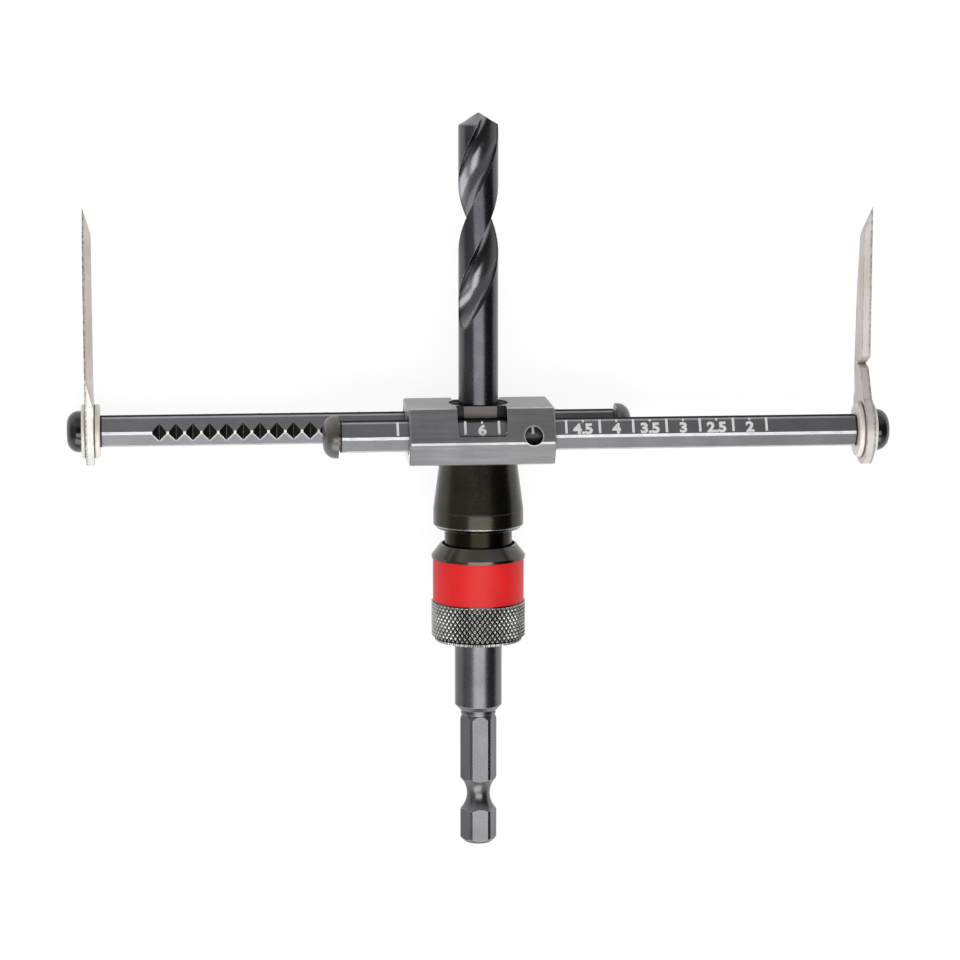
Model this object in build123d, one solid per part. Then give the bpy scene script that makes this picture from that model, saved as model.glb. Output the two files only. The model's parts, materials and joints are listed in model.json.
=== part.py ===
from build123d import *
import math
import os

# Drywall circle cutter, in millimetres, lying on its back as it comes to rest.
# X runs along the two bars, Y along the tool's axis towards the drill tip, and Z towards
# the side with the reading window. The origin is the centre of the shank's end face.
# A "station" is a place along the tool's axis, counted from the bars' middle plane.

# Where the bars' middle plane lies on the tool's axis
bars_from_shank_end = 80.3

# Hexagonal bars
bar_across_flats = 5.7
bar_length = 98.1
bar_outer_end = 71.5
bar_corner_break = 0.29
bar_spacing = 11.36
bar_bore_clearance = 0.08

# Scale and notches: one unit of hole diameter is half a unit of arm travel
inch = 25.4
notch_pitch = inch / 8
notch_depth = 0.97
diameter_set = 6.0
diameter_largest = 7.0
diameter_smallest = 2.0

# Centre block
block_length = 27.5
block_height = 10.76
block_top_depth = 14.8
block_bottom_depth = 16.8
block_ridge_depth = 22.0
block_ridge_station = -0.94
block_edge_break = 0.25
block_bore_diameter = 11.2
window_width = 9.4
window_sill = 0.25
window_corner_radius = 0.6
window_back = 4.6
cross_hole_diameter = 3.3
cross_hole_from_end = 4.2
cross_hole_station = 0.3

# Detent leaf springs in the web between the bars
leaf_thickness = 0.35
leaf_width = 2.6
leaf_nose_gap = 0.05
leaf_nose_spread = 0.8
leaf_foot_spread = 2.0
leaf_pocket_length = 6.4
leaf_pocket_height = 3.0
leaf_pocket_floor = 1.45

# Twist drill
drill_diameter = 7.55
drill_tip = 60.2
drill_point_angle = 118.0
flute_pitch = 45.0
flute_end = 26.5
flute_cutter_radius = 3.1
flute_cutter_offset = 4.2
flute_wheel_radius = 14.0
flute_wheel_turn = 34.0
flute_overrun = 2.0
flute_turn = 63.2
tang_thickness = 3.4
tang_end = -16.3
tang_shoulder = 3.15
drill_fit = 0.05

# Mandrel
head_diameter = 11.0
head_flat_spacing = 9.0
head_top = 5.25
fork_room = 0.15
fork_side_gap = 0.19
cone_top_radius = 7.33
cone_bottom_radius = 8.6
cone_bottom = -15.0
line_width = 0.25
line_depth = 0.06
ring_bottom = -17.9
ring_chamfer = 0.7
neck_radius = 6.45
neck_bottom = -22.35
stem_across_flats = 7.0
stem_end = -37.85
stem_chamfer = 0.6
clamp_screw_station = -11.2
clamp_screw_radius = 2.0
clamp_screw_length = 5.0
clamp_screw_socket = 2.0
clamp_screw_chamfer = 0.3
screw_fit = 0.05

# Quick-lock arbor
shank_across_flats = 6.35
shank_across_corners = 7.0
shank_top = -54.95
shank_shoulder_radius = 3.1
shank_shoulder_height = 0.95
shank_ring_radius = 3.35
shank_end_chamfer = 0.9
shank_turn = 2.0
groove_top = -67.6
groove_bottom = -73.9
groove_diameter = 4.45
round_neck_radius = 4.5
round_neck_bottom = -53.1
round_neck_foot = -54.1
round_neck_foot_radius = 3.6
socket_radius = 5.9
socket_bottom = -40.05
socket_fit = 0.06
ball_radius = 1.5
ball_station = -29.3
ball_circle_radius = 5.0
ball_fit = 0.05
ball_count = 3

# Collar, band and what is under them
collar_top = -21.7
collar_top_radius = 7.3
collar_taper_bottom = -23.85
collar_rim_radius = 8.95
band_top = -24.4
band_bottom = -32.65
band_outer_radius = 8.7
band_thickness = 0.5
grip_radius = 9.0
grip_bottom = -39.35
collar_bottom = -40.35
collar_bottom_radius = 8.3
collar_travel = 3.0
mouth_radius = 6.95
guide_radius = 5.97
guide_length = 1.1
release_radius = 7.2
lock_radius = 6.55
spring_room_radius = 7.5
stop_ring_top = -22.65
stop_ring_thickness = 0.7
stop_ring_radius = 6.7
ring_groove_depth = 0.45
seat_top = -37.95
seat_thickness = 0.7
seat_radius = 7.3
seat_ring_thickness = 0.7
seat_ring_radius = 6.6
spring_wire_radius = 0.4
spring_mean_radius = 6.7
spring_turns = 3.5

# Clamp stack at each bar's outer end
washer_radius = 5.15
inner_washer_thickness = 1.1
blade_thickness = 1.6
outer_washer_thickness = 0.8
washer_edge_break = 0.2
stack_hole_radius = 2.2
screw_radius = 2.08
tapped_hole_depth = 9.0
blade_screw_reach = 8.0
blade_screw_head_radius = 3.95
blade_screw_head_height = 2.75
stop_screw_head_radius = 4.08
stop_screw_head_height = 2.8
stop_screw_collar_radius = 2.7
stop_screw_collar_height = 0.35
stop_screw_reach = 8.0
head_rim_height = 0.75
head_crown_share = 0.52
head_bulge = 0.32
socket_across_flats = 2.5
socket_depth = 1.4

# Blade outline from the bar's axis: height along the tool's axis, width towards the middle
blade_eye_radius = 6.5
blade_tip_height = 42.5
heel_height = 11.0
heel_width = 8.3
belly_height = 27.0
belly_width = 7.0
shoulder_height = 37.0
shoulder_width = 4.9
notch_top_height = 13.9
notch_apex_height = 12.2
notch_apex_width = 4.2
notch_foot_height = 11.7
notch_foot_width = 1.3
neck_foot_angle = 70.0
tip_bevel_height = 5.0
edge_bevel_width = 1.2
edge_bevel_foot_outer = 11.9
edge_bevel_foot_inner = 5.2
edge_land = 0.1

# Sizes that follow from the ones above
front_z = bar_spacing / 2
bar_inner_end = bar_outer_end - bar_length
bar_corner_radius = bar_across_flats / math.sqrt(3)
bar_inner_corner = front_z - bar_corner_radius
notch_apex = bar_inner_corner + notch_depth
notches_outward = round((diameter_largest - diameter_set) / 2 * inch / notch_pitch)
notches_inward = round((diameter_set - diameter_smallest) / 2 * inch / notch_pitch)
bore_across_flats = bar_across_flats + 2 * bar_bore_clearance
cross_hole_place = block_length / 2 - cross_hole_from_end
block_top = block_height / 2
block_bottom = -block_height / 2
blade_inner_face = bar_outer_end + inner_washer_thickness
blade_outer_face = blade_inner_face + blade_thickness
stack_end = blade_outer_face + outer_washer_thickness
tapped_radius = screw_radius + screw_fit


def place(station):
    """Y of a station on the tool's axis."""
    return bars_from_shank_end + station


def turned(*points):
    """Solid of revolution round the tool's axis from (radius, station) points."""
    outline = Polyline(*[(radius, place(station)) for radius, station in points], close=True)
    return revolve(make_face(outline), Axis.Y)


def ring(outer, inner, top, bottom):
    return turned((inner, top), (outer, top), (outer, bottom), (inner, bottom))


def box_between(x_size, low_station, high_station, z_low, z_high):
    """Box centred on x = 0, between two stations and two heights."""
    centre = (0, place((low_station + high_station) / 2), (z_low + z_high) / 2)
    return Pos(*centre) * Box(x_size, high_station - low_station, z_high - z_low)


def prism_along_x(points, x_start, x_end):
    """Prism from (station, z) points, from one x to another."""
    outline = Polyline(*[(place(station), z) for station, z in points], close=True)
    face = Plane.YZ.offset(x_start) * make_face(outline)
    return extrude(face, amount=x_end - x_start)


def hexagon_points(across_flats, z_centre):
    """Hexagon with two flats square to the tool's axis and a corner towards +Z and -Z."""
    corner = across_flats / math.sqrt(3)
    angles = [math.radians(60 * k) for k in range(6)]
    return [(corner * math.sin(a), z_centre + corner * math.cos(a)) for a in angles]


def rod_along_x(radius, x_start, x_end, z):
    plane = Plane((x_start, place(0), z), x_dir=(0, 1, 0), z_dir=(1, 0, 0))
    return extrude(plane * Circle(radius), amount=x_end - x_start)


def rod_along_z(radius, x, station, z_low, z_high):
    centre = (x, place(station), (z_low + z_high) / 2)
    return Pos(*centre) * Cylinder(radius, z_high - z_low)


def hex_rod(across_flats, low_station, high_station, turn=0):
    """Hexagonal rod on the tool's axis."""
    plane = Plane((0, place(low_station), 0), x_dir=(1, 0, 0), z_dir=(0, 1, 0))
    section = RegularPolygon(across_flats / 2, 6, major_radius=False, rotation=turn)
    return extrude(plane * section, amount=high_station - low_station)


def turn_half(solid):
    """The same piece on the other arm: half a turn round the tool's axis."""
    return Rot(0, 180, 0) * solid


def make_bar():
    """Right bar: hexagon with broken corners, notches on its inner corner, tapped ends."""
    bar = prism_along_x(hexagon_points(bar_across_flats, front_z), bar_inner_end, bar_outer_end)
    bar = chamfer(bar.edges().filter_by(Axis.X), bar_corner_break)
    outside = bar_inner_corner - notch_depth
    first = cross_hole_place - notches_outward * notch_pitch
    last = cross_hole_place + notches_inward * notch_pitch
    teeth = [(first - notch_pitch, outside), (first, notch_apex)]
    for step in range(1, notches_outward + notches_inward + 1):
        x = first + step * notch_pitch
        teeth += [(x - notch_pitch / 2, bar_inner_corner), (x, notch_apex)]
    teeth.append((last + notch_pitch, outside))
    face = make_face(Plane.XZ.offset(-place(0)) * Polyline(*teeth, close=True))
    bar -= extrude(face, amount=bar_across_flats, both=True)
    bar -= rod_along_x(tapped_radius, bar_outer_end - tapped_hole_depth, bar_outer_end, front_z)
    bar -= rod_along_x(tapped_radius, bar_inner_end, bar_inner_end + tapped_hole_depth, front_z)
    return bar


def make_block():
    """Centre block: six-sided prism with two bar bores, the mandrel's bore and windows."""
    half_top = block_top_depth / 2
    half_ridge = block_ridge_depth / 2
    half_bottom = block_bottom_depth / 2
    section = [
        (block_top, half_top),
        (block_ridge_station, half_ridge),
        (block_bottom, half_bottom),
        (block_bottom, -half_bottom),
        (block_ridge_station, -half_ridge),
        (block_top, -half_top),
    ]
    block = prism_along_x(section, -block_length / 2, block_length / 2)
    block = chamfer(block.edges(), block_edge_break)
    bore = prism_along_x(hexagon_points(bore_across_flats, front_z), -block_length, block_length)
    block -= bore
    block -= turn_half(bore)
    block -= ring(block_bore_diameter / 2, 0, block_top + 1, block_bottom - 1)
    window = make_window()
    block -= window
    block -= turn_half(window)
    pocket = make_leaf_pocket()
    block -= pocket
    block -= turn_half(pocket)
    cross_hole = rod_along_z(
        cross_hole_diameter / 2, cross_hole_place, cross_hole_station, front_z, block_ridge_depth
    )
    block -= cross_hole
    block -= turn_half(cross_hole)
    return block


def make_window():
    """Cutter for the reading window: open at the top, with two rounded lower corners."""
    window = box_between(window_width, window_sill, block_height, window_back, block_ridge_depth)
    sill_edges = window.edges().filter_by(Axis.Z).group_by(Axis.Y)[0]
    return fillet(sill_edges, window_corner_radius)


def make_leaf_pocket():
    """Pocket in the web behind the front bar, with round ends."""
    depth = front_z + leaf_pocket_floor
    centre = (cross_hole_place, place(0), -leaf_pocket_floor)
    slot = SlotOverall(leaf_pocket_length, leaf_pocket_height)
    return Pos(*centre) * extrude(slot, amount=depth)


def make_detent_leaf():
    """Bent strip whose nose sits in one notch of the right bar."""
    half = leaf_thickness / 2
    wall_slope = 2 * notch_depth / notch_pitch
    nose = notch_apex - (leaf_nose_gap + half) * math.hypot(1, wall_slope)
    bend = nose - leaf_nose_spread * wall_slope
    foot = half - leaf_pocket_floor
    line = Polyline(
        (cross_hole_place - leaf_foot_spread, foot),
        (cross_hole_place - leaf_nose_spread, bend),
        (cross_hole_place, nose),
        (cross_hole_place + leaf_nose_spread, bend),
        (cross_hole_place + leaf_foot_spread, foot),
    )
    strip = offset(line, half, side=Side.BOTH)
    face = Plane.XZ.offset(-place(0)) * make_face(strip)
    return extrude(face, amount=leaf_width / 2, both=True)


def make_drill():
    """Twist drill: 118 degree point, two flutes with a run-out, and a tang with two flats."""
    radius = drill_diameter / 2
    point_height = radius / math.tan(math.radians(drill_point_angle / 2))
    drill = turned(
        (0, drill_tip),
        (radius, drill_tip - point_height),
        (radius, tang_end + drill_fit),
        (0, tang_end + drill_fit),
    )
    for side in (0, 180):
        drill -= Rot(0, side + flute_turn, 0) * make_flute_cutter()
    flat = tang_thickness / 2
    for low, high in ((flat, drill_diameter), (-drill_diameter, -flat)):
        drill -= box_between(2 * drill_diameter, tang_end - 1, tang_shoulder, low, high)
    return drill


def make_flute_cutter():
    """Round-nosed cutter along a right-hand helix, and round the wheel's arc where it leaves."""
    length = drill_tip + flute_overrun - flute_end
    path = Helix(flute_pitch, length, flute_cutter_offset)
    section = Plane(path @ 0, z_dir=path % 0) * Circle(flute_cutter_radius)
    outward = Vector(1, 0, 0)
    axle = Axis(path @ 0 + outward * flute_wheel_radius, outward.cross(path % 0))
    cutter = sweep(section, path=path) + revolve(section, axle, flute_wheel_turn)
    return Pos(0, place(flute_end), 0) * Rot(-90, 0, 0) * cutter


def make_mandrel():
    """Mandrel: fork between the bars, cone with a ring, neck and hexagonal stem."""
    head_radius = head_diameter / 2
    mandrel = turned(
        (0, head_top),
        (head_radius, head_top),
        (head_radius, block_bottom),
        (cone_top_radius, block_bottom),
        (cone_bottom_radius, cone_bottom),
        (cone_bottom_radius - line_depth, cone_bottom - line_width / 2),
        (cone_bottom_radius, cone_bottom - line_width),
        (cone_bottom_radius, ring_bottom),
        (cone_bottom_radius - ring_chamfer, ring_bottom - ring_chamfer),
        (neck_radius, ring_bottom - ring_chamfer),
        (neck_radius, neck_bottom),
        (0, neck_bottom),
    )
    stem = hex_rod(stem_across_flats, stem_end, neck_bottom)
    corner = stem_across_flats / math.sqrt(3)
    stem &= turned(
        (0, neck_bottom),
        (corner, neck_bottom),
        (corner, stem_end + stem_chamfer),
        (corner - stem_chamfer, stem_end),
        (0, stem_end),
    )
    mandrel += stem
    channel = bar_across_flats / 2 + fork_room
    flat = head_flat_spacing / 2
    fork = bar_inner_corner - fork_side_gap
    for sign in (1, -1):
        outer = sign * head_diameter
        mandrel -= box_between(head_diameter, -channel, channel, *sorted((sign * fork, outer)))
        mandrel -= box_between(head_diameter, 0, head_top + 1, *sorted((sign * flat, outer)))
    mandrel -= make_tang_hole()
    ball_groove = Plane.XY * Pos(ball_circle_radius, place(ball_station)) * Circle(ball_radius + ball_fit)
    mandrel -= revolve(ball_groove, Axis.Y)
    depth = cone_bottom_radius + 1
    mandrel -= rod_along_z(clamp_screw_radius + screw_fit, 0, clamp_screw_station, -depth, 0)
    return mandrel


def make_tang_hole():
    """Hole for the drill: round above the bars, with two flats below them."""
    radius = drill_diameter / 2 + drill_fit
    hole = ring(radius, 0, head_top + 1, tang_end)
    flat = tang_thickness / 2 + drill_fit
    below = -bar_across_flats / 2 - fork_room
    for low, high in ((flat, drill_diameter), (-drill_diameter, -flat)):
        hole -= box_between(drill_diameter * 2, tang_end - 1, below, low, high)
    return hole


def make_clamp_screw():
    """Socket set screw that presses on the flat of the drill's tang from behind."""
    tip = -tang_thickness / 2
    screw = rod_along_z(clamp_screw_radius, 0, clamp_screw_station, tip - clamp_screw_length, tip)
    screw = chamfer(screw.edges().filter_by(GeomType.CIRCLE), clamp_screw_chamfer)
    socket = RegularPolygon(clamp_screw_socket / 2, 6, major_radius=False)
    mouth = Pos(0, place(clamp_screw_station), tip - clamp_screw_length)
    return screw - mouth * extrude(socket, amount=clamp_screw_socket)


def make_arbor():
    """Arbor: hexagonal shank with its groove, round neck, socket body with ball holes."""
    shank = hex_rod(shank_across_flats, -bars_from_shank_end, shank_top, shank_turn)
    corner = shank_across_corners / 2
    bottom = -bars_from_shank_end
    shank &= turned(
        (0, shank_top),
        (shank_shoulder_radius, shank_top),
        (corner, shank_top - shank_shoulder_height),
        (corner, bottom + shank_end_chamfer),
        (corner - shank_end_chamfer, bottom),
        (0, bottom),
    )
    shank -= make_shank_groove()
    body = turned(
        (0, neck_bottom),
        (socket_radius, neck_bottom),
        (socket_radius, socket_bottom),
        (round_neck_radius, socket_bottom),
        (round_neck_radius, round_neck_bottom),
        (round_neck_foot_radius, round_neck_foot),
        (shank_ring_radius, round_neck_foot),
        (shank_ring_radius, shank_top),
        (0, shank_top),
    )
    arbor = body + shank
    arbor -= hex_rod(stem_across_flats + 2 * socket_fit, stem_end - socket_fit, neck_bottom)
    for index in range(ball_count):
        arbor -= Rot(0, ball_angle(index), 0) * make_ball_hole()
    groove_floor = socket_radius - ring_groove_depth
    wide = socket_radius + 1
    arbor -= ring(wide, groove_floor, stop_ring_top, stop_ring_top - stop_ring_thickness)
    seat_ring_top = seat_top - seat_thickness
    arbor -= ring(wide, groove_floor, seat_ring_top, seat_ring_top - seat_ring_thickness)
    return arbor


def ball_angle(index):
    """The balls press on three corners of the hexagonal stem."""
    return 360 / ball_count * index


def make_ball_hole():
    plane = Plane((0, place(ball_station), 0), z_dir=(1, 0, 0))
    return extrude(plane * Circle(ball_radius + ball_fit), amount=socket_radius + 1)


def make_shank_groove():
    """Ring with a round floor and sloping sides, cut round the hexagonal shank."""
    outer = shank_across_corners / 2 + 1
    corner = shank_across_corners / 2
    floor = groove_diameter / 2
    middle = (groove_top + groove_bottom) / 2
    side = (groove_top - groove_bottom) / 2
    arc = ThreePointArc(
        (corner, place(groove_top)), (floor, place(middle)), (corner, place(middle - side))
    )
    back = Polyline(
        (corner, place(groove_bottom)),
        (outer, place(groove_bottom)),
        (outer, place(groove_top)),
        (corner, place(groove_top)),
    )
    return revolve(make_face(Curve() + [arc, back]), Axis.Y)


def make_lock_balls():
    ball = Pos(ball_circle_radius, place(ball_station), 0) * Sphere(ball_radius)
    return Compound(children=[Rot(0, ball_angle(index), 0) * ball for index in range(ball_count)])


def make_collar():
    """Sliding collar: tapered mouth, seat for the band, grip, and the stepped bore inside."""
    band_seat = band_outer_radius - band_thickness
    guide_top = stop_ring_top - stop_ring_thickness
    release_top = guide_top - guide_length
    lock_top = ball_station - ball_radius + collar_travel
    lock_bottom = ball_station - ball_radius - ball_fit
    return turned(
        (mouth_radius, collar_top),
        (collar_top_radius, collar_top),
        (collar_rim_radius, collar_taper_bottom),
        (collar_rim_radius, band_top),
        (band_seat, band_top),
        (band_seat, band_bottom),
        (grip_radius, band_bottom),
        (grip_radius, grip_bottom),
        (collar_bottom_radius, collar_bottom),
        (spring_room_radius, collar_bottom),
        (spring_room_radius, lock_bottom),
        (lock_radius, lock_bottom),
        (lock_radius, lock_top),
        (release_radius, lock_top),
        (release_radius, release_top),
        (guide_radius, release_top),
        (guide_radius, guide_top),
        (mouth_radius, guide_top),
    )


def make_collar_spring():
    """Compression spring between the collar's lock land and the seat washer."""
    top = ball_station - ball_radius - ball_fit - spring_wire_radius
    bottom = seat_top + spring_wire_radius
    height = top - bottom
    start = (0, place(bottom), 0)
    path = Helix(height / spring_turns, height, spring_mean_radius, center=start, direction=(0, 1, 0))
    section = Plane(path @ 0, z_dir=path % 0) * Circle(spring_wire_radius)
    return sweep(section, path=path)


def make_washer(x_start, thickness):
    washer = rod_along_x(washer_radius, x_start, x_start + thickness, front_z)
    washer = chamfer(washer.edges().filter_by(GeomType.CIRCLE), washer_edge_break)
    return washer - rod_along_x(stack_hole_radius, x_start - 1, x_start + thickness + 1, front_z)


def make_button_screw(seat_x, outward, reach, head_radius, head_height):
    """Button-head screw with a hexagonal socket; outward is 1 or -1 along X."""
    rim = head_rim_height
    dome = Plane((0, 0, 0), x_dir=(1, 0, 0), z_dir=(0, 0, 1))
    crown = head_radius * head_crown_share
    side = Polyline((0, 0), (head_radius, 0), (head_radius, rim))
    arc = ThreePointArc(
        (head_radius, rim),
        ((head_radius + crown) / 2 + head_bulge, (rim + head_height) / 2 + head_bulge),
        (crown, head_height),
    )
    top = Polyline((crown, head_height), (0, head_height), (0, 0))
    head = revolve(dome * make_face(Curve() + [side, arc, top]), Axis.Y)
    shank = Rot(90, 0, 0) * extrude(Circle(screw_radius), amount=reach)
    socket = RegularPolygon(socket_across_flats / 2, 6, major_radius=False)
    mouth = Pos(0, head_height, 0) * Rot(90, 0, 0) * extrude(socket, amount=socket_depth)
    screw = head + shank - mouth
    return Pos(seat_x, place(0), front_z) * Rot(0, 0, -90 * outward) * screw


def make_stop_screw():
    """Button-head screw at the bar's inner end, its head held off the bar by a small collar."""
    seat_x = bar_inner_end - stop_screw_collar_height
    reach = stop_screw_reach + stop_screw_collar_height
    screw = make_button_screw(seat_x, -1, reach, stop_screw_head_radius, stop_screw_head_height)
    return screw + rod_along_x(stop_screw_collar_radius, seat_x, bar_inner_end, front_z)


def make_blade():
    """Right blade: eye, neck with a relief notch, knife with a belly, bevelled tip and edge."""
    blade = make_blade_sheet()
    blade -= rod_along_x(stack_hole_radius, blade_inner_face - 1, blade_outer_face + 1, front_z)
    blade -= make_tip_bevel()
    blade -= make_edge_bevel()
    return blade


def make_blade_sheet():
    """Flat outline in (station, z), extruded by the blade's thickness."""
    eye = blade_eye_radius
    angle = math.radians(neck_foot_angle)
    foot = (eye * math.sin(angle), eye * math.cos(angle))
    upright = Polyline(
        *cutting_edge(),
        (notch_top_height, 0),
        (notch_apex_height, -notch_apex_width),
        (notch_foot_height, -notch_foot_width),
        foot,
        (0, 0),
        close=True,
    )
    sheet = make_face(upright) + Circle(eye)
    plane = Plane((blade_inner_face, place(0), front_z), x_dir=(0, 1, 0), z_dir=(1, 0, 0))
    return extrude(plane * sheet, amount=blade_thickness)


def cutting_edge():
    """Corners of the leading edge from the eye to the tip, as (height, z from the bar's axis)."""
    return [
        (0, -blade_eye_radius),
        (heel_height, -heel_width),
        (belly_height, -belly_width),
        (shoulder_height, -shoulder_width),
        (blade_tip_height, 0),
    ]


def make_tip_bevel():
    """Wedge that thins the tip from the inner face, so the point is at the outer face."""
    over = 1.0
    slope = blade_thickness / tip_bevel_height
    outline = Polyline(
        (blade_outer_face, blade_tip_height),
        (blade_inner_face - over, blade_tip_height - tip_bevel_height - over / slope),
        (blade_inner_face - over, blade_tip_height + over),
        (blade_outer_face, blade_tip_height + over),
        close=True,
    )
    face = Plane((0, place(0), front_z), x_dir=(1, 0, 0), z_dir=(0, 0, 1)) * make_face(outline)
    return extrude(face, amount=2 * blade_eye_radius, both=True)


def make_edge_bevel():
    """Wedges along the leading edge, ending in a slanted run-out above the eye."""
    over = 1.0
    corners = cutting_edge()
    wedges = Part()
    for (low, low_z), (high, high_z) in zip(corners, corners[1:]):
        lean = math.degrees(math.atan2(high_z - low_z, high - low))
        wedges += Pos(0, place(low), front_z + low_z) * Rot(lean, 0, 0) * make_edge_wedge(over)
    run_out = Polyline(
        (blade_inner_face - over, edge_bevel_foot_inner),
        (blade_inner_face, edge_bevel_foot_inner),
        (blade_outer_face, edge_bevel_foot_outer),
        (blade_outer_face + over, edge_bevel_foot_outer),
        (blade_outer_face + over, 2 * blade_tip_height),
        (blade_inner_face - over, 2 * blade_tip_height),
        close=True,
    )
    face = Plane((0, place(0), front_z), x_dir=(1, 0, 0), z_dir=(0, 0, 1)) * make_face(run_out)
    return wedges & extrude(face, amount=2 * blade_eye_radius, both=True)


def make_edge_wedge(over):
    """Long wedge with the sharp edge on the Y axis, sloping up to the blade's inner face."""
    sharp = blade_outer_face - edge_land
    slope = (sharp - blade_inner_face) / edge_bevel_width
    section = Polyline(
        (sharp + slope * over, -over),
        (blade_inner_face - over, -over),
        (blade_inner_face - over, edge_bevel_width + over / slope),
        close=True,
    )
    side = Plane((0, 0, 0), x_dir=(1, 0, 0), z_dir=(0, -1, 0)) * make_face(section)
    return extrude(side, amount=2 * blade_tip_height, both=True)


def arm_pieces():
    """The pieces of the right arm, by the name that follows the side."""
    return {
        "bar": make_bar(),
        "inner_washer": make_washer(bar_outer_end, inner_washer_thickness),
        "blade": make_blade(),
        "outer_washer": make_washer(blade_outer_face, outer_washer_thickness),
        "blade_screw": make_button_screw(
            stack_end,
            1,
            stack_end - bar_outer_end + blade_screw_reach,
            blade_screw_head_radius,
            blade_screw_head_height,
        ),
        "stop_screw": make_stop_screw(),
        "detent_leaf": make_detent_leaf(),
    }


def all_pieces():
    spring_top = seat_top - seat_thickness
    pieces = {
        "block": make_block(),
        "mandrel": make_mandrel(),
        "pilot_drill": make_drill(),
        "drill_set_screw": make_clamp_screw(),
        "arbor": make_arbor(),
        "lock_balls": make_lock_balls(),
        "stop_ring": ring(
            stop_ring_radius,
            socket_radius - ring_groove_depth + ball_fit,
            stop_ring_top,
            stop_ring_top - stop_ring_thickness,
        ),
        "spring_seat": ring(seat_radius, socket_radius + ball_fit, seat_top, spring_top),
        "seat_ring": ring(
            seat_ring_radius,
            socket_radius - ring_groove_depth + ball_fit,
            spring_top,
            spring_top - seat_ring_thickness,
        ),
        "collar_spring": make_collar_spring(),
        "lock_collar": make_collar(),
        "collar_band": ring(
            band_outer_radius, band_outer_radius - band_thickness, band_top, band_bottom
        ),
    }
    for name, piece in arm_pieces().items():
        pieces["right_" + name] = piece
        pieces["left_" + name] = turn_half(piece)
    return pieces


os.makedirs("parts", exist_ok=True)
for node, solid in all_pieces().items():
    export_step(solid, f"parts/{node}.step")
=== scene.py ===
import json
import math

import bpy
from mathutils import Matrix, Vector

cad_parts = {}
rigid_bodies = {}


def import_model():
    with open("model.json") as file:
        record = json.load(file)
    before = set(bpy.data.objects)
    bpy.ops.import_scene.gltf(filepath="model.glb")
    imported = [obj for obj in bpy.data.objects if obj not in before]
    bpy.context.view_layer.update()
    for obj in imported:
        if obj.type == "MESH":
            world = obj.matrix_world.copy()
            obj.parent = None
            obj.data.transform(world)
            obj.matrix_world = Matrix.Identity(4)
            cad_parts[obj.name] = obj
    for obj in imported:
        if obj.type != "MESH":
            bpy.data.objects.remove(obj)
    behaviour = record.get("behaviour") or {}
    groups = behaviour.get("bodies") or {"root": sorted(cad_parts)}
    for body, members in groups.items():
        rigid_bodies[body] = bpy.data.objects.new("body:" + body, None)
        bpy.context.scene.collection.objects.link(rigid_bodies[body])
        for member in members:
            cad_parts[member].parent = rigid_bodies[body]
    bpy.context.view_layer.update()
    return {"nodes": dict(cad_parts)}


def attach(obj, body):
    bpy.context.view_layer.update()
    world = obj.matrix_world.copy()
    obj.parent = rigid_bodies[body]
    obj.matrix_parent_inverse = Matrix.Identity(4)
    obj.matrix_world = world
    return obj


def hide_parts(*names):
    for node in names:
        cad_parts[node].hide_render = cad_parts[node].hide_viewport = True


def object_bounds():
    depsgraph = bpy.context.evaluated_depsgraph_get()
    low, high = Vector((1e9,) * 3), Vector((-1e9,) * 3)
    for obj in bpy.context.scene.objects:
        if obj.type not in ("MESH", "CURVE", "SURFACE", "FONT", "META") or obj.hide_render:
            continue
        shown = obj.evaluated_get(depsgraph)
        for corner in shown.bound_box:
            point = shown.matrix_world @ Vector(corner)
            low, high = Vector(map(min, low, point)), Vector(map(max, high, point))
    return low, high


for thing in list(bpy.data.objects):
    bpy.data.objects.remove(thing)
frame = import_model()
nodes = frame["nodes"]

# Sizes of the part that the looks follow, in metres
MM = 0.001
INCH = 25.4 * MM
BARS_Y = 80.3 * MM
BAR_FLATS = 5.7 * MM
BAR_Z = 11.36 / 2 * MM
BAR_INNER_END = -26.6 * MM
BAR_OUTER_END = 71.5 * MM
BLOCK_END = 27.5 / 2 * MM
BLOCK_BORE_RADIUS = 11.2 / 2 * MM
WINDOW_HALF = 9.4 / 2 * MM
WINDOW_BACK = 4.6 * MM
CROSS_HOLE = (9.55 * MM, BARS_Y + 0.3 * MM)
CROSS_HOLE_RADIUS = 3.3 / 2 * MM
BAR_MOUTH_RADIUS = 3.6 * MM
NECK_RADIUS = 6.45 * MM
DRILL_RADIUS = 7.55 / 2 * MM
BLADE_FACES = (72.6 * MM, 74.2 * MM)
BLADE_EYE_RADIUS = 5.3 * MM
# Half width over which light is painted fading from left to right on the bars and blades
PAINTED_LIGHT_REACH = 70 * MM

# Sizes of the collar, in millimetres: radii from the tool's axis and stations from the line of the bars.
# The half width of a groove is a share of its pitch.
COLLAR_PROFILE = [
    (5.97, -24.45), (5.97, -23.35), (6.95, -23.35), (6.95, -21.7), (7.3, -21.7), (8.95, -23.85),
    (8.95, -24.4), (8.2, -24.4), (8.2, -32.65), (8.78, -32.65), (8.78, -32.85),
]
COLLAR_FOOT = [(8.3, -40.35), (7.5, -40.35), (7.5, -30.85)]
KNURL_TOP = -32.85
KNURL_BOTTOM = -39.7
KNURL_RADIUS = 9.0
KNURL_DEPTH = 0.36
KNURL_COUNT = 56
KNURL_RISE = 1.3
KNURL_GROOVE_HALF = 0.38
KNURL_RUN_IN = 0.25
KNURL_FOOT_HEIGHT = 0.55
KNURL_FOOT_DROP = 0.35
KNURL_ROWS = 72
POINTS_PER_GROOVE = 10

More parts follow.
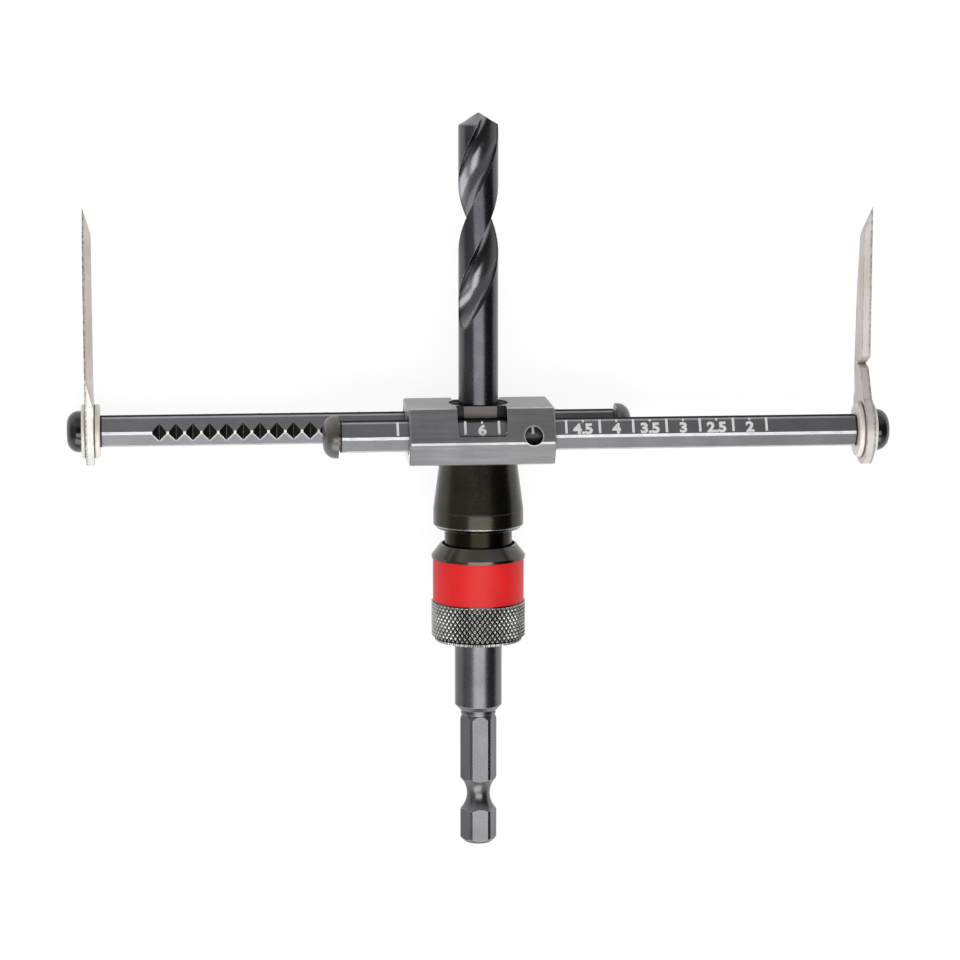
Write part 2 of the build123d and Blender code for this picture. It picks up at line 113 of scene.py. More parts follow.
# Scale on the bars: hole diameters in inches, spans in halves of the facet's width, widths in metres
SET_DIAMETER = 6.0
NUMBERS = [2 + 0.5 * k for k in range(11)]
LINES = [1.75 + 0.5 * k for k in range(12)]
LINE_SPAN = (-0.66, 0.99)
LINE_WIDTH = 0.46 * MM
TICK_SPAN = (0.68, 0.97)
TICK_WIDTH = 0.36 * MM
NUMBER_UP = -0.18
NUMBER_HEIGHT = 2.75 * MM
NUMBER_STRETCH = 1.1
NUMBER_STROKE = 0.048
MARK_LIFT = 0.012 * MM

# Studio: each side light has a direction, the cosines where it starts and is full, and a level
FLOOR_HALF = 3.0
FLOOR_GREY = 0.8
FLOOR_VEIL = 0.2
FLOOR_GLOW = 0.88
FILL_LEVEL = 0.4
MIRRORED_LEVEL = 0.05
SIDE_LIGHTS = [
    ((0, -1, 0), 0.3, 0.7, 0.62),
    ((-1, 0, 0), 0.2, 0.7, 0.3),
    ((0, 1, 0), 0.35, 0.75, 0.5),
]

# Camera at the photograph's angle, fitted to points in it: angles in radians, distances in millimetres
CAMERA_LENS = 125.0
CAMERA_YAW = 0.094
CAMERA_PITCH = 0.162
CAMERA_DISTANCE = 635.0
AIM_ACROSS = 0.33
AIM_STATION = -9.54


def station(millimetres):
    """Place along Y of a station counted from the line of the bars."""
    return BARS_Y + millimetres * MM


def add_object(name, data):
    """New object in the scene, from its mesh, text, lamp or camera."""
    made = bpy.data.objects.new(name, data)
    bpy.context.scene.collection.objects.link(made)
    return made


# Materials
class Shader:
    """A principled material built from nodes, with short calls for the ones used here."""

    def __init__(self, name, colour, roughness, metallic, specular):
        self.material = bpy.data.materials.new(name)
        self.material.use_nodes = True
        self.tree = self.material.node_tree
        self.bsdf = self.tree.nodes["Principled BSDF"]
        self.colour = self.rgb(colour)
        self.roughness = self.value(roughness)
        self.bsdf.inputs["Metallic"].default_value = metallic
        self.bsdf.inputs["Specular IOR Level"].default_value = specular
        self.heights = []
        self.place = self.node("ShaderNodeTexCoord").outputs["Object"]

    def node(self, kind, **settings):
        made = self.tree.nodes.new(kind)
        for key, value in settings.items():
            setattr(made, key, value)
        return made

    def link(self, source, target):
        self.tree.links.new(source, target)

    def put(self, socket, value):
        """Gives a socket its value, which may come from another node."""
        if isinstance(value, bpy.types.NodeSocket):
            self.link(value, socket)
        else:
            socket.default_value = value

    def rgb(self, colour):
        made = self.node("ShaderNodeRGB")
        made.outputs[0].default_value = (*colour, 1)
        return made.outputs[0]

    def value(self, number):
        made = self.node("ShaderNodeValue")
        made.outputs[0].default_value = number
        return made.outputs[0]

    def math(self, operation, a, b=0.0):
        made = self.node("ShaderNodeMath", operation=operation)
        self.put(made.inputs[0], a)
        self.put(made.inputs[1], b)
        return made.outputs[0]

    def size_of(self, value):
        return self.math("ABSOLUTE", value)

    def product(self, *factors):
        total = factors[0]
        for factor in factors[1:]:
            total = self.math("MULTIPLY", total, factor)
        return total

    def largest(self, *values):
        total = values[0]
        for value in values[1:]:
            total = self.math("MAXIMUM", total, value)
        return total

    def parts(self, vector):
        """The three coordinates of a vector."""
        made = self.node("ShaderNodeSeparateXYZ")
        self.link(vector, made.inputs[0])
        return made.outputs[0], made.outputs[1], made.outputs[2]

    def normal(self):
        return self.node("ShaderNodeNewGeometry").outputs["Normal"]

    def noise(self, size, detail=3.0, stretch=(1, 1, 1)):
        """Noise with features of about that size in metres, stretched along an axis."""
        scaled = self.node("ShaderNodeMapping")
        self.link(self.place, scaled.inputs["Vector"])
        scaled.inputs["Scale"].default_value = [1 / (size * s) for s in stretch]
        made = self.node("ShaderNodeTexNoise")
        self.link(scaled.outputs[0], made.inputs["Vector"])
        made.inputs["Scale"].default_value = 1.0
        made.inputs["Detail"].default_value = detail
        return made.outputs["Fac"]

    def ramp(self, value, start, end, out_start=0.0, out_end=1.0):
        """Goes from one output at the start to the other at the end, and stays there beyond."""
        made = self.node("ShaderNodeMapRange")
        self.put(made.inputs[0], value)
        for socket, given in zip(made.inputs[1:5], (start, end, out_start, out_end)):
            socket.default_value = given
        return made.outputs[0]

    def paint(self, factor, colour):
        """Lays a colour over what is there, by a factor from 0 to 1."""
        made = self.node("ShaderNodeMix", data_type="RGBA")
        self.put(made.inputs[0], factor)
        self.put(made.inputs[6], self.colour)
        self.put(made.inputs[7], (*colour, 1))
        self.colour = made.outputs[2]

    def shade(self, factor):
        """Multiplies the colour by a number near 1."""
        made = self.node("ShaderNodeVectorMath", operation="SCALE")
        self.link(self.colour, made.inputs[0])
        self.put(made.inputs["Scale"], factor)
        self.colour = made.outputs[0]

    def rough(self, amount):
        """Adds to the roughness."""
        self.roughness = self.math("ADD", self.roughness, amount)

    def bump(self, height, distance):
        self.heights.append((height, distance))

    def rounded(self, radius):
        """Softens the shading of sharp edges over that radius."""
        made = self.node("ShaderNodeBevel", samples=4)
        made.inputs["Radius"].default_value = radius
        self.heights.insert(0, (made.outputs[0], None))

    def edges(self, radius, soft=0.995, hard=0.93):
        """1 close to a sharp edge, 0 away from it."""
        made = self.node("ShaderNodeBevel", samples=8)
        made.inputs["Radius"].default_value = radius
        dot = self.node("ShaderNodeVectorMath", operation="DOT_PRODUCT")
        self.link(made.outputs[0], dot.inputs[0])
        self.link(self.normal(), dot.inputs[1])
        return self.ramp(dot.outputs["Value"], soft, hard)

    def corners(self):
        """1 on the narrow chamfers between the flats of a hexagonal bar along X."""
        along, upward, outward = self.parts(self.normal())
        angle = self.math("ARCTAN2", outward, upward)
        turns = self.math("COSINE", self.product(angle, 6.0))
        return self.product(self.ramp(turns, -0.2, -0.7), self.ramp(self.size_of(along), 0.3, 0.2))

    def distance(self, *pairs):
        """Distance from a line: each pair is a coordinate and the line's place on it."""
        total = 0.0
        for value, centre in pairs:
            gap = self.math("SUBTRACT", value, centre)
            total = self.math("ADD", total, self.product(gap, gap))
        return self.math("SQRT", total)

    def radius(self):
        """Distance from the tool's axis."""
        x, _, z = self.parts(self.place)
        return self.distance((x, 0.0), (z, 0.0))

    def finish(self):
        """Links the colour, the roughness and the heights, the rounded edges first."""
        self.link(self.colour, self.bsdf.inputs["Base Color"])
        self.link(self.roughness, self.bsdf.inputs["Roughness"])
        normal = None
        for height, distance in self.heights:
            if distance is None:
                normal = height
                continue
            made = self.node("ShaderNodeBump")
            made.inputs["Distance"].default_value = distance
            self.link(height, made.inputs["Height"])
            if normal is not None:
                self.link(normal, made.inputs["Normal"])
            normal = made.outputs[0]
        self.link(normal, self.bsdf.inputs["Normal"])
        return self.material


def worn_metal(name, colour, roughness, metallic, specular=0.5, spread=0.12, grain=0.15 * MM,
               stretch=(1, 1, 1), depth=0.004 * MM):
    """Metal with cloudy tone, fine grain, uneven gloss and a faint bump."""
    made = Shader(name, colour, roughness, metallic, specular)
    cloud = made.noise(6 * MM, 4.0)
    fine = made.noise(grain, 4.0, stretch)
    made.shade(made.ramp(cloud, 0.3, 0.7, 1 - spread, 1 + spread))
    made.shade(made.ramp(fine, 0.3, 0.7, 0.93, 1.07))
    made.rough(made.ramp(fine, 0.3, 0.7, -0.04, 0.05))
    made.bump(fine, depth)
    return made


def black_oxide(name, colour, roughness):
    """Oxide film over ground steel: dark, but it mirrors like metal."""
    return worn_metal(name, colour, roughness, 1.0, spread=0.2, grain=0.12 * MM, stretch=(6, 1, 6),
                      depth=0.002 * MM)


def bar_material():
    """Gunmetal; painted shade on notches, top, ends and inside the block; corners outside it bright from
    wear and painted highlight.
    """
    made = worn_metal("gunmetal_bar", (0.23, 0.23, 0.248), 0.34, 0.75, spread=0.1, stretch=(8, 1, 1))
    x, _, z = made.parts(made.place)
    side, upward, _ = made.parts(made.normal())
    slant = made.size_of(side)
    along = made.product(x, made.math("SIGN", z))
    # Painted shade: the walls of the notches are painted near black.
    notch = made.product(made.ramp(slant, 0.3, 0.35), made.ramp(slant, 0.9, 0.85))
    made.paint(notch, (0.02, 0.019, 0.012))
    # Painted shade: the flat on top is painted near black, and made rougher.
    top = made.ramp(upward, 0.9, 0.97)
    made.paint(top, (0.02, 0.02, 0.022))
    made.rough(made.product(top, 0.6))

    # Painted light: the bars brighter to the left and darker to the right.
    made.shade(made.ramp(x, -PAINTED_LIGHT_REACH, PAINTED_LIGHT_REACH, 1.1, 0.7))
    # Painted shade: the rear bar darker to the right.
    rear_right = made.product(made.ramp(z, 0.0, -1 * MM), made.ramp(x, 0.0, 20 * MM))
    made.shade(made.ramp(rear_right, 0.0, 1.0, 1.0, 0.55))

    corners = made.corners()
    outside = made.ramp(made.size_of(x), BLOCK_END - 1.75 * MM, BLOCK_END + 0.75 * MM)
    # Painted shade: the corners inside the block, seen through its holes, are painted near black.
    made.paint(made.product(corners, made.math("SUBTRACT", 1.0, outside)), (0.04, 0.04, 0.04))
    # Corners and edges outside the block painted bright, partly as wear and partly as painted highlight,
    # less where they face up.
    wear_and_highlight = made.largest(corners, made.product(made.edges(0.2 * MM), 0.5))
    less_on_top = made.ramp(upward, 0.6, 0.85, 1.0, 0.35)
    streak = made.ramp(made.noise(0.8 * MM, 2.0, (3, 1, 1)), 0.25, 0.6, 0.6, 1.0)
    made.paint(made.product(wear_and_highlight, outside, less_on_top, streak), (0.6, 0.6, 0.62))

    # Painted highlight along the edges of the lower facets outside the block, clear of the inner end.
    edge = made.edges(0.7 * MM, 0.99, 0.96)
    below = made.ramp(upward, 0.1, -0.1)
    facet = made.ramp(slant, 0.2, 0.1)
    past_end = made.ramp(along, BAR_INNER_END + 0.8 * MM, BAR_INNER_END + 1.2 * MM)
    made.paint(made.product(edge, below, facet, outside, past_end), (0.85, 0.85, 0.86))
    # Painted shade: a dark band at each end of the bar, by the stop screw and by the washer.
    inner_end = made.ramp(along, BAR_INNER_END + 0.35 * MM, BAR_INNER_END + 0.2 * MM)
    outer_end = made.ramp(along, BAR_OUTER_END - 0.4 * MM, BAR_OUTER_END - 0.3 * MM)
    made.paint(made.largest(outer_end, inner_end), (0.03, 0.022, 0.016))
    made.rounded(0.05 * MM)
    return made.finish()


def block_material():
    """Satin steel; corners bright from wear and painted highlight, painted reflections on the ends, painted
    shade in the holes.
    """
    made = worn_metal("satin_block", (0.25, 0.25, 0.262), 0.36, 0.75, spread=0.1, stretch=(6, 1, 1))
    made.shade(made.ramp(made.noise(0.9 * MM, 3.0, (14, 1, 1)), 0.35, 0.65, 0.86, 1.08))
    x, y, z = made.parts(made.place)
    side, upward, outward = (made.size_of(part) for part in made.parts(made.normal()))
    made.paint(made.ramp(x, 2 * MM, 9 * MM, 0.0, 0.5), (0.235, 0.225, 0.215))
    # Painted reflection: the end faces paler, and white below the bars.
    ends = made.ramp(side, 0.9, 0.95)
    made.paint(ends, (0.4, 0.39, 0.38))
    made.paint(made.product(ends, made.ramp(y, BARS_Y, station(-2))), (0.95, 0.95, 0.95))
    # Corners and edges painted bright, partly as wear and partly as painted highlight.
    wear_and_highlight = made.largest(made.corners(), made.product(made.edges(0.2 * MM), 0.55))
    streak = made.ramp(made.noise(0.8 * MM, 2.0, (3, 1, 1)), 0.25, 0.6, 0.5, 0.95)
    made.paint(made.product(wear_and_highlight, streak), (0.6, 0.6, 0.6))

    # Painted shade: the window's sill, back and side walls, the bore, the cross hole and the mouths of the
    # bars are painted near black.
    sill = made.product(made.ramp(upward, 0.9, 0.95), made.ramp(y, station(2), station(1)))
    depth = made.ramp(made.size_of(z), WINDOW_BACK + 0.4 * MM, WINDOW_BACK + 0.2 * MM)
    back = made.product(made.ramp(outward, 0.9, 0.95), depth)
    across = made.ramp(made.size_of(x), WINDOW_HALF + 0.15 * MM, WINDOW_HALF + 0.05 * MM)
    window = made.product(made.largest(ends, sill, back), across)
    bore = made.ramp(made.radius(), BLOCK_BORE_RADIUS + 0.15 * MM, BLOCK_BORE_RADIUS + 0.05 * MM)
    to_hole = made.distance((made.product(x, made.math("SIGN", z)), CROSS_HOLE[0]), (y, CROSS_HOLE[1]))
    hole = made.ramp(to_hole, CROSS_HOLE_RADIUS + 0.07 * MM, CROSS_HOLE_RADIUS + 0.01 * MM)
    # Painted highlight: a pale ring round the cross hole.
    rim = made.ramp(to_hole, CROSS_HOLE_RADIUS + 0.3 * MM, CROSS_HOLE_RADIUS + 0.2 * MM)
    made.paint(rim, (0.55, 0.55, 0.54))
    to_bar = made.distance((y, BARS_Y), (made.size_of(z), BAR_Z))
    mouth = made.product(ends, made.ramp(to_bar, BAR_MOUTH_RADIUS + 0.1 * MM, BAR_MOUTH_RADIUS))
    made.paint(made.largest(window, bore, hole, mouth), (0.012, 0.012, 0.01))
    made.rounded(0.05 * MM)
    return made.finish()


def drill_material():
    """Black oxide, thinner in the flutes and on the point, where the ground steel shines through."""
    made = black_oxide("drill_black", (0.1, 0.1, 0.112), 0.25)
    ground = made.ramp(made.radius(), DRILL_RADIUS - 0.175 * MM, DRILL_RADIUS - 0.425 * MM)
    made.paint(ground, (0.2, 0.2, 0.21))
    made.rough(made.product(ground, -0.03))
    # Painted highlight along the edges.
    made.paint(made.product(made.edges(0.12 * MM), 0.6), (0.45, 0.45, 0.47))
    made.rounded(0.08 * MM)
    return made.finish()


def mandrel_material():
    """Black oxide with painted shade on the rough head and the neck, a painted reflection on the head's
    flats in the windows and a painted highlight on the rim.
    """
    made = black_oxide("mandrel_black", (0.058, 0.055, 0.044), 0.24)
    _, y, _ = made.parts(made.place)
    _, _, outward = made.parts(made.normal())
    # Painted shade: the head inside the block is painted black, and made rougher.
    head = made.ramp(y, station(-3), BARS_Y)
    made.paint(head, (0.01, 0.01, 0.009))
    made.rough(made.product(head, 0.5))
    # Painted reflection: the head's flats, seen through the windows, are painted paler.
    flat = made.ramp(made.size_of(outward), 0.9, 0.97)
    made.paint(made.product(head, flat), (0.4, 0.38, 0.36))
    # Painted shade on the neck below the ring.
    thin = made.ramp(made.radius(), NECK_RADIUS + 0.15 * MM, NECK_RADIUS + 0.05 * MM)
    neck = made.product(thin, made.ramp(y, station(-10), station(-12)))
    made.paint(neck, (0.02, 0.017, 0.011))
    # Painted highlight on the rim below the ring.
    rim = made.product(made.ramp(y, station(-17.6), station(-17.8)), made.edges(0.5 * MM))
    made.paint(rim, (0.75, 0.75, 0.73))
    made.rounded(0.08 * MM)
    return made.finish()


def collar_material():
    """Black oxide, worn to bright metal on the crests of the knurl, with a painted highlight at the foot.
    """
    made = black_oxide("collar_black", (0.1, 0.09, 0.08), 0.21)
    _, y, _ = made.parts(made.place)
    knurled = made.ramp(y, station(KNURL_TOP + 0.05), station(KNURL_TOP - 0.05))
    made.paint(knurled, (0.008, 0.008, 0.007))
    crest = made.ramp(made.radius(), (KNURL_RADIUS - 0.27) * MM, (KNURL_RADIUS - 0.19) * MM)
    patch = made.ramp(made.noise(1.1 * MM, 2.0), 0.35, 0.6, 0.7, 1.0)
    made.paint(made.product(crest, knurled, patch), (0.58, 0.575, 0.56))
    # Painted highlight on the foot below the knurl.
    foot = made.ramp(y, station(KNURL_BOTTOM - 0.15), station(KNURL_BOTTOM - 0.25))
    made.paint(foot, (0.45, 0.45, 0.44))
    return made.finish()


def shank_material():
    """Satin grey steel with painted shade on the flats that face the sides, and pale along its edges."""
    made = worn_metal("shank_grey", (0.175, 0.17, 0.18), 0.29, 1.0, grain=0.12 * MM, stretch=(1, 6, 1),
                      depth=0.001 * MM)
    side, _, _ = made.parts(made.normal())
    # Painted shade: darker where the surface faces left, less so where it faces right.
    made.shade(made.ramp(side, -0.4, -0.85, 1.0, 0.65))
    made.shade(made.ramp(side, 0.4, 0.85, 1.0, 0.85))
    made.paint(made.product(made.edges(0.16 * MM), 0.6), (0.8, 0.8, 0.8))
    made.rounded(0.06 * MM)
    return made.finish()


def blade_material():
    """Ground steel with a warm tint in patches and darker flecks along the edges."""
    made = worn_metal("ground_blade", (0.82, 0.78, 0.75), 0.4, 0.2, spread=0.06, grain=0.1 * MM,
                      stretch=(1, 12, 1))
    x, y, z = made.parts(made.place)
    side, _, _ = made.parts(made.normal())
    across = made.size_of(x)
    knife = made.ramp(y, station(7), station(12), 0.0, 0.6)
    warm = made.ramp(made.noise(9 * MM, 2.0, (1, 2, 1)), 0.45, 0.6)
    made.paint(made.product(warm, knife), (0.82, 0.65, 0.62))
    tan = made.ramp(made.noise(4 * MM, 3.0, (1, 2, 1)), 0.44, 0.58)
    made.paint(made.product(tan, knife), (0.68, 0.62, 0.48))
    fleck = made.ramp(made.noise(0.5 * MM, 3.0, (1, 3, 1)), 0.42, 0.62)
    made.paint(made.product(made.edges(0.25 * MM), fleck), (0.2, 0.19, 0.17))
    # Painted light: the blades brighter to the left and darker to the right.
    made.shade(made.ramp(x, -PAINTED_LIGHT_REACH, PAINTED_LIGHT_REACH, 1.14, 0.86))

    strip = made.ramp(made.size_of(side), 0.98, 0.95)
    rim = made.ramp(across, BLADE_FACES[1] - 0.5 * MM, BLADE_FACES[1] - 0.2 * MM)
    worn = made.ramp(made.noise(0.5 * MM, 3.0), 0.4, 0.6, 0.3, 0.9)
    made.paint(made.product(strip, rim, worn), (0.22, 0.21, 0.19))
    # Painted shade on the blade's faces round the eye, where it meets the washers.
    to_bar = made.distance((y, BARS_Y), (made.size_of(z), BAR_Z))
    eye = made.ramp(to_bar, BLADE_EYE_RADIUS + 0.4 * MM, BLADE_EYE_RADIUS)
    for face in BLADE_FACES:
        gap = made.size_of(made.math("SUBTRACT", across, face))
        made.paint(made.product(eye, made.ramp(gap, 0.14 * MM, 0.06 * MM)), (0.3, 0.24, 0.2))
    made.rounded(0.04 * MM)
    return made.finish()


def washer_material():
    """Bright zinc, with painted shade in the joints beside the blade."""
    made = worn_metal("washer_zinc", (0.95, 0.91, 0.83), 0.4, 0.15, spread=0.06)
    x, _, _ = made.parts(made.place)
    across = made.size_of(x)
    # Painted shade in the joints beside the blade.
    for face in BLADE_FACES:
        gap = made.size_of(made.math("SUBTRACT", across, face))
        made.paint(made.ramp(gap, 0.24 * MM, 0.1 * MM), (0.24, 0.18, 0.13))
    made.rounded(0.05 * MM)
    return made.finish()


def plain(name, colour, roughness, metallic, specular=0.5, spread=0.08):
    """One colour with the cloudy tone and grain of worn metal, and soft edges."""
    made = worn_metal(name, colour, roughness, metallic, specular, spread)
    made.rounded(0.05 * MM)
    return made.finish()


bar_metal = bar_material()
block_metal = block_material()
mandrel_black = mandrel_material()
collar_black = collar_material()
drill_black = drill_material()
shank_grey = shank_material()
screw_black = plain("screw_black", (0.006, 0.005, 0.004), 0.1, 0.0, 0.8)
stop_brown = plain("stop_brown", (0.16, 0.148, 0.142), 0.3, 0.7)
washer_zinc = washer_material()
blade_steel = blade_material()
spring_steel = plain("spring_steel", (0.35, 0.35, 0.35), 0.3, 0.9)
ball_steel = plain("ball_steel", (0.6, 0.6, 0.6), 0.12, 1.0)
band_red = plain("band_red", (0.86, 0.014, 0.014), 0.45, 0.0, 0.35, 0.06)
mark_white = plain("mark_white", (0.96, 0.96, 0.94), 0.5, 0.0, 0.5, 0.03)

materials = {
    "block": block_metal,
    "mandrel": mandrel_black,
    "pilot_drill": drill_black,
    "drill_set_screw": screw_black,
    "arbor": shank_grey,
    "lock_balls": ball_steel,
    "stop_ring": spring_steel,
    "spring_seat": spring_steel,
    "seat_ring": spring_steel,
    "collar_spring": spring_steel,
    "lock_collar": collar_black,
    "collar_band": band_red,
}
for side in ("right_", "left_"):
    materials[side + "bar"] = bar_metal
    materials[side + "inner_washer"] = washer_zinc
    materials[side + "outer_washer"] = washer_zinc
    materials[side + "blade"] = blade_steel
    materials[side + "blade_screw"] = screw_black
    materials[side + "stop_screw"] = stop_brown
    materials[side + "detent_leaf"] = spring_steel
for name, material in materials.items():
    nodes[name].data.materials.clear()
    nodes[name].data.materials.append(material)


# Knurled collar, with the outline of the plain one
def knurl_groove(turn, height):
    """How deep the grooves are at a place, from 0 to 1: two sets of them cross."""
    along = (height - KNURL_TOP) / KNURL_RISE
    depth = 0
    for sign in (1, -1):
        phase = (turn * KNURL_COUNT + sign * along) % 1
        depth = max(depth, 1 - abs(phase - 0.5) / KNURL_GROOVE_HALF)
    return depth


def plain_row(radius, height):
    """A round ring of points."""
    return lambda turn: (radius * MM, station(height))


def knurl_row(height):
    """A ring of points on the knurl, whose grooves run in at the top and whose foot is turned down."""
    run_in = min(1.0, (KNURL_TOP - height) / KNURL_RUN_IN)
    foot = max(0.0, (KNURL_BOTTOM + KNURL_FOOT_HEIGHT - height) / KNURL_FOOT_HEIGHT)

    def row(turn):
        depth = knurl_groove(turn, height) * KNURL_DEPTH * run_in
        radius = KNURL_RADIUS - KNURL_FOOT_DROP * foot * foot - depth
        return radius * MM, station(height)

    return row


def spin(rows, count, name):
    """Object from rings round the tool's axis. Each row gives radius and Y at a turn from 0 to 1."""
    points = []
    faces = []
    for k in range(count):
        turn = k / count
        angle = 2 * math.pi * turn
        for row in rows:
            radius, y = row(turn)
            points.append((radius * math.sin(angle), y, radius * math.cos(angle)))
    n = len(rows)
    for k in range(count):
        following = (k + 1) % count
        for r in range(n - 1):
            faces.append((k * n + r, k * n + r + 1, following * n + r + 1, following * n + r))
    mesh = bpy.data.meshes.new(name)
    mesh.from_pydata(points, [], faces)
    mesh.update()
    return add_object(name, mesh)


rows = [plain_row(*place) for place in COLLAR_PROFILE]
for k in range(KNURL_ROWS + 1):
    rows.append(knurl_row(KNURL_TOP + (KNURL_BOTTOM - KNURL_TOP) * k / KNURL_ROWS))
rows += [plain_row(*place) for place in COLLAR_FOOT]
collar = spin(rows, KNURL_COUNT * POINTS_PER_GROOVE, "knurled_collar")
collar.data.materials.append(collar_black)
collar.data.set_sharp_from_angle(angle=math.radians(35))
for polygon in collar.data.polygons:
    polygon.use_smooth = True
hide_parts("lock_collar")
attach(collar, "collar")

# Scale lines and numbers on the outer upper facet of each bar
FACET_HALF = BAR_FLATS / math.sqrt(3) / 2
facet_up = Vector((0, math.sin(math.radians(60)), -math.cos(math.radians(60))))
facet_out = Vector((0, math.cos(math.radians(60)), math.sin(math.radians(60))))
facet_centre = Vector((0, BARS_Y, BAR_Z)) + facet_out * BAR_FLATS / 2


def mark_x(diameter):
    """Place along X of the mark for a hole diameter in inches, at the arm's setting."""
    return (SET_DIAMETER - diameter) / 2 * INCH


def facet_matrix(x, up):
    """Frame on the front bar's upper facet: X along the bar, Y up the facet, Z outwards."""
    spot = facet_centre + facet_up * up + facet_out * MARK_LIFT + Vector((x, 0, 0))
    turn = Matrix((Vector((1, 0, 0)), facet_up, facet_out)).transposed()
    return Matrix.Translation(spot) @ turn.to_4x4()


def strip(x, span, width):
    """Corners of a line across the facet."""
    low, high = (FACET_HALF * end for end in span)
    half = width / 2
    corners = [(-half, low), (half, low), (half, high), (-half, high)]
    return [facet_matrix(x, 0) @ Vector((a, b, 0)) for a, b in corners]


def text_mesh(text):
    """Flat mesh of a number, centred."""
    curve = bpy.data.curves.new("word", "FONT")
    curve.body = text
    curve.size = NUMBER_HEIGHT
    curve.align_x = "CENTER"
    curve.align_y = "CENTER"
    curve.offset = NUMBER_HEIGHT * NUMBER_STROKE
    curve.resolution_u = 6
    holder = add_object("word", curve)
    bpy.context.view_layer.update()
    mesh = bpy.data.meshes.new_from_object(holder.evaluated_get(bpy.context.evaluated_depsgraph_get()))
    bpy.data.objects.remove(holder)
    return mesh


def build_scale(name, body, half_turn):
    """All the marks of one bar. The rear bar's are the front bar's, turned half round the axis."""
    points, faces = [], []

    def add(corners, cells):
        start = len(points)
        points.extend(corners)
        faces.extend([tuple(start + i for i in cell) for cell in cells])

    for diameter in LINES:
        add(strip(mark_x(diameter), LINE_SPAN, LINE_WIDTH), [(0, 1, 2, 3)])
    for diameter in NUMBERS:
        x = mark_x(diameter)
        add(strip(x, TICK_SPAN, TICK_WIDTH), [(0, 1, 2, 3)])
        mesh = text_mesh(f"{diameter:g}")
        place = facet_matrix(x, FACET_HALF * NUMBER_UP) @ Matrix.Diagonal((NUMBER_STRETCH, 1, 1, 1))
        add([place @ v.co for v in mesh.vertices], [tuple(p.vertices) for p in mesh.polygons])
    if half_turn:
        points = [Vector((-p.x, p.y, -p.z)) for p in points]
    mesh = bpy.data.meshes.new(name)
    mesh.from_pydata(points, [], faces)
    mesh.materials.append(mark_white)
    made = add_object(name, mesh)
    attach(made, body)


build_scale("right_scale", "right_arm", False)
build_scale("left_scale", "left_arm", True)


# Floor and world
def seen_by(tree, *names):
    """1 for rays of any of these kinds."""
    path = tree.nodes.new("ShaderNodeLightPath")
    total = path.outputs[names[0]]
    for name in names[1:]:
        made = tree.nodes.new("ShaderNodeMath")
        made.operation = "MAXIMUM"
        tree.links.new(total, made.inputs[0])
        tree.links.new(path.outputs[name], made.inputs[1])
        total = made.outputs[0]
    return total


def diffuse(tree, grey):
    made = tree.nodes.new("ShaderNodeBsdfDiffuse")
    made.inputs["Color"].default_value = (grey, grey, grey, 1)
    return made.outputs[0]


def floor_material():
    """White to look at and in what metal mirrors, with faint shadows, and pale grey to the light."""
    made = bpy.data.materials.new("pale_floor")
    made.use_nodes = True
    tree = made.node_tree
    tree.nodes.clear()
    glow = tree.nodes.new("ShaderNodeEmission")
    glow.inputs["Strength"].default_value = FLOOR_GLOW
    bright = tree.nodes.new("ShaderNodeAddShader")
    tree.links.new(diffuse(tree, FLOOR_VEIL), bright.inputs[0])
    tree.links.new(glow.outputs[0], bright.inputs[1])
    choose = tree.nodes.new("ShaderNodeMixShader")
    tree.links.new(seen_by(tree, "Is Camera Ray", "Is Glossy Ray", "Is Transmission Ray"), choose.inputs[0])
    tree.links.new(diffuse(tree, FLOOR_GREY), choose.inputs[1])
    tree.links.new(bright.outputs[0], choose.inputs[2])
    target = tree.nodes.new("ShaderNodeOutputMaterial")
    tree.links.new(choose.outputs[0], target.inputs[0])
    return made


def side_light(tree, along, start, end, level):
    """How bright the studio is towards one side, for what metal mirrors."""
    where = tree.nodes.new("ShaderNodeTexCoord")
    side = tree.nodes.new("ShaderNodeVectorMath")
    side.operation = "DOT_PRODUCT"
    side.inputs[1].default_value = along
    tree.links.new(where.outputs["Generated"], side.inputs[0])
    made = tree.nodes.new("ShaderNodeMapRange")
    made.interpolation_type = "SMOOTHSTEP"
    for socket, given in zip(made.inputs[1:5], (start, end, 0.0, level)):
        socket.default_value = given
    tree.links.new(side.outputs["Value"], made.inputs[0])
    return made.outputs[0]


def studio_world():
    """White to look at, a softer fill on the object, and light from three sides in what metal mirrors."""
    world = bpy.data.worlds.new("studio")
    world.use_nodes = True
    tree = world.node_tree
    background = tree.nodes["Background"]
    background.inputs["Color"].default_value = (1, 1, 1, 1)
    fill = tree.nodes.new("ShaderNodeMapRange")
    fill.inputs[3].default_value = FILL_LEVEL
    fill.inputs[4].default_value = 1.0
    tree.links.new(seen_by(tree, "Is Camera Ray", "Is Transmission Ray"), fill.inputs[0])

    mirrored = tree.nodes.new("ShaderNodeValue")
    mirrored.outputs[0].default_value = MIRRORED_LEVEL
    for given in SIDE_LIGHTS:
        added = tree.nodes.new("ShaderNodeMath")
        tree.links.new(mirrored.outputs[0], added.inputs[0])
        tree.links.new(side_light(tree, *given), added.inputs[1])
        mirrored = added
    strength = tree.nodes.new("ShaderNodeMix")
    tree.links.new(seen_by(tree, "Is Glossy Ray"), strength.inputs[0])
    tree.links.new(fill.outputs[0], strength.inputs[2])
    tree.links.new(mirrored.outputs[0], strength.inputs[3])
    tree.links.new(strength.outputs[0], background.inputs["Strength"])
    return world


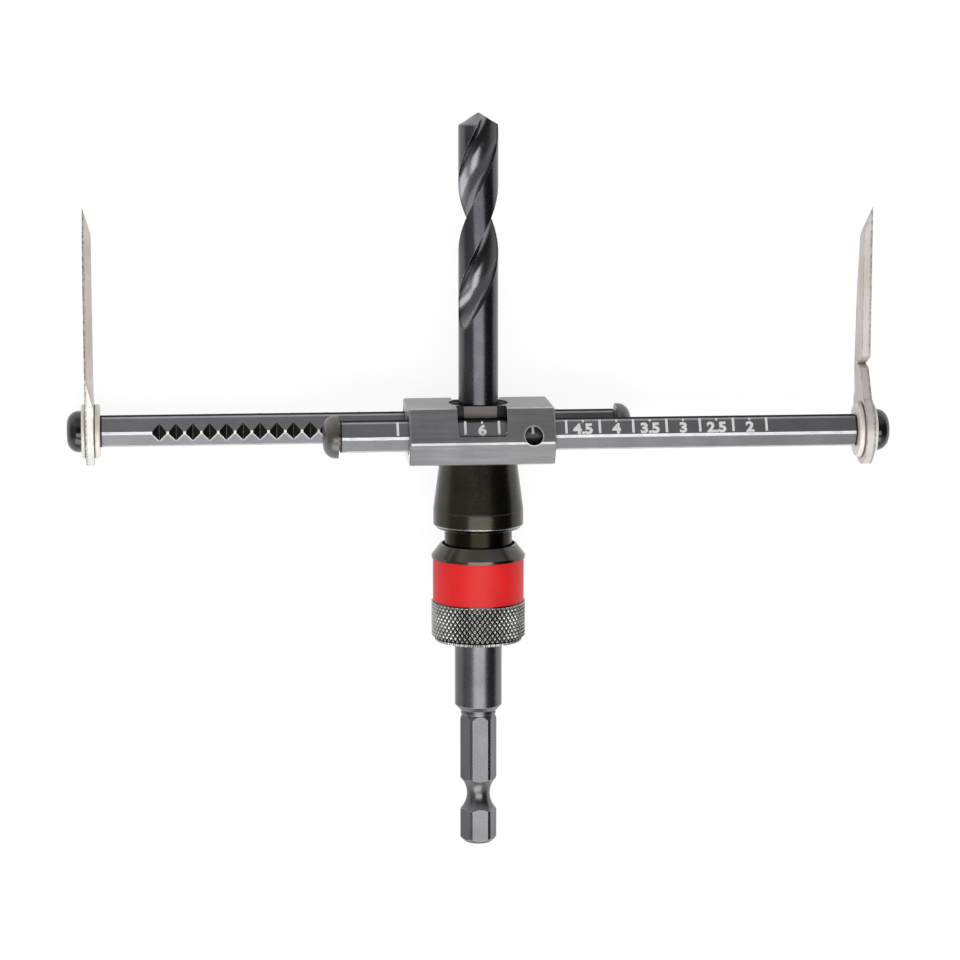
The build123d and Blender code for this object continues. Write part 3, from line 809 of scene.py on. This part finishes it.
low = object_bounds()[0].z
corners = ((-1, -1), (1, -1), (1, 1), (-1, 1))
floor_mesh = bpy.data.meshes.new("floor")
floor_mesh.from_pydata([(a * FLOOR_HALF, b * FLOOR_HALF, low) for a, b in corners], [], [(0, 1, 2, 3)])
floor_mesh.materials.append(floor_material())
floor = add_object("floor", floor_mesh)
bpy.context.scene.world = studio_world()


# Lamps, placed by direction from the object
def direction(azimuth, elevation):
    """Azimuth 0 is +Y and 90 is +X, in degrees."""
    a, e = math.radians(azimuth), math.radians(elevation)
    return Vector((math.sin(a) * math.cos(e), math.cos(a) * math.cos(e), math.sin(e)))


def softbox(name, azimuth, elevation, distance, width, height, power):
    """Rectangular lamp that faces the middle of the bars, in metres and watts."""
    lamp = bpy.data.lights.new(name, "AREA")
    lamp.shape = "RECTANGLE"
    lamp.size = width
    lamp.size_y = height
    lamp.energy = power
    made = add_object(name, lamp)
    out = direction(azimuth, elevation)
    made.location = Vector((0, BARS_Y, 0)) + out * distance
    made.rotation_euler = out.to_track_quat("Z", "Y").to_euler()


softbox("key", azimuth=190, elevation=38, distance=0.9, width=0.9, height=0.5, power=2.8)
softbox("strip", azimuth=180, elevation=77, distance=1.2, width=1.3, height=0.46, power=5.2)


# Camera
def camera_matrix():
    """The camera's place and turn: above the tool, a little towards the drill and the left."""
    right = Vector((math.cos(CAMERA_YAW), 0, math.sin(CAMERA_YAW)))
    level = math.cos(CAMERA_PITCH)
    tilt = math.sin(CAMERA_PITCH)
    forward = Vector((math.sin(CAMERA_YAW) * level, -tilt, -math.cos(CAMERA_YAW) * level))
    up = right.cross(forward)
    away = CAMERA_DISTANCE + AIM_STATION * tilt
    spot = right * AIM_ACROSS + up * (AIM_STATION * level) - forward * away
    turn = Matrix((right, up, -forward)).transposed()
    return Matrix.Translation(spot * MM + Vector((0, BARS_Y, 0))) @ turn.to_4x4()


camera_data = bpy.data.cameras.new("camera")
camera_data.lens = CAMERA_LENS
camera_data.sensor_width = 36
camera_data.clip_start = 0.05
camera_data.clip_end = 20
camera = add_object("camera", camera_data)
camera.matrix_world = camera_matrix()
bpy.context.scene.camera = camera

bpy.context.scene.view_settings.view_transform = "Standard"
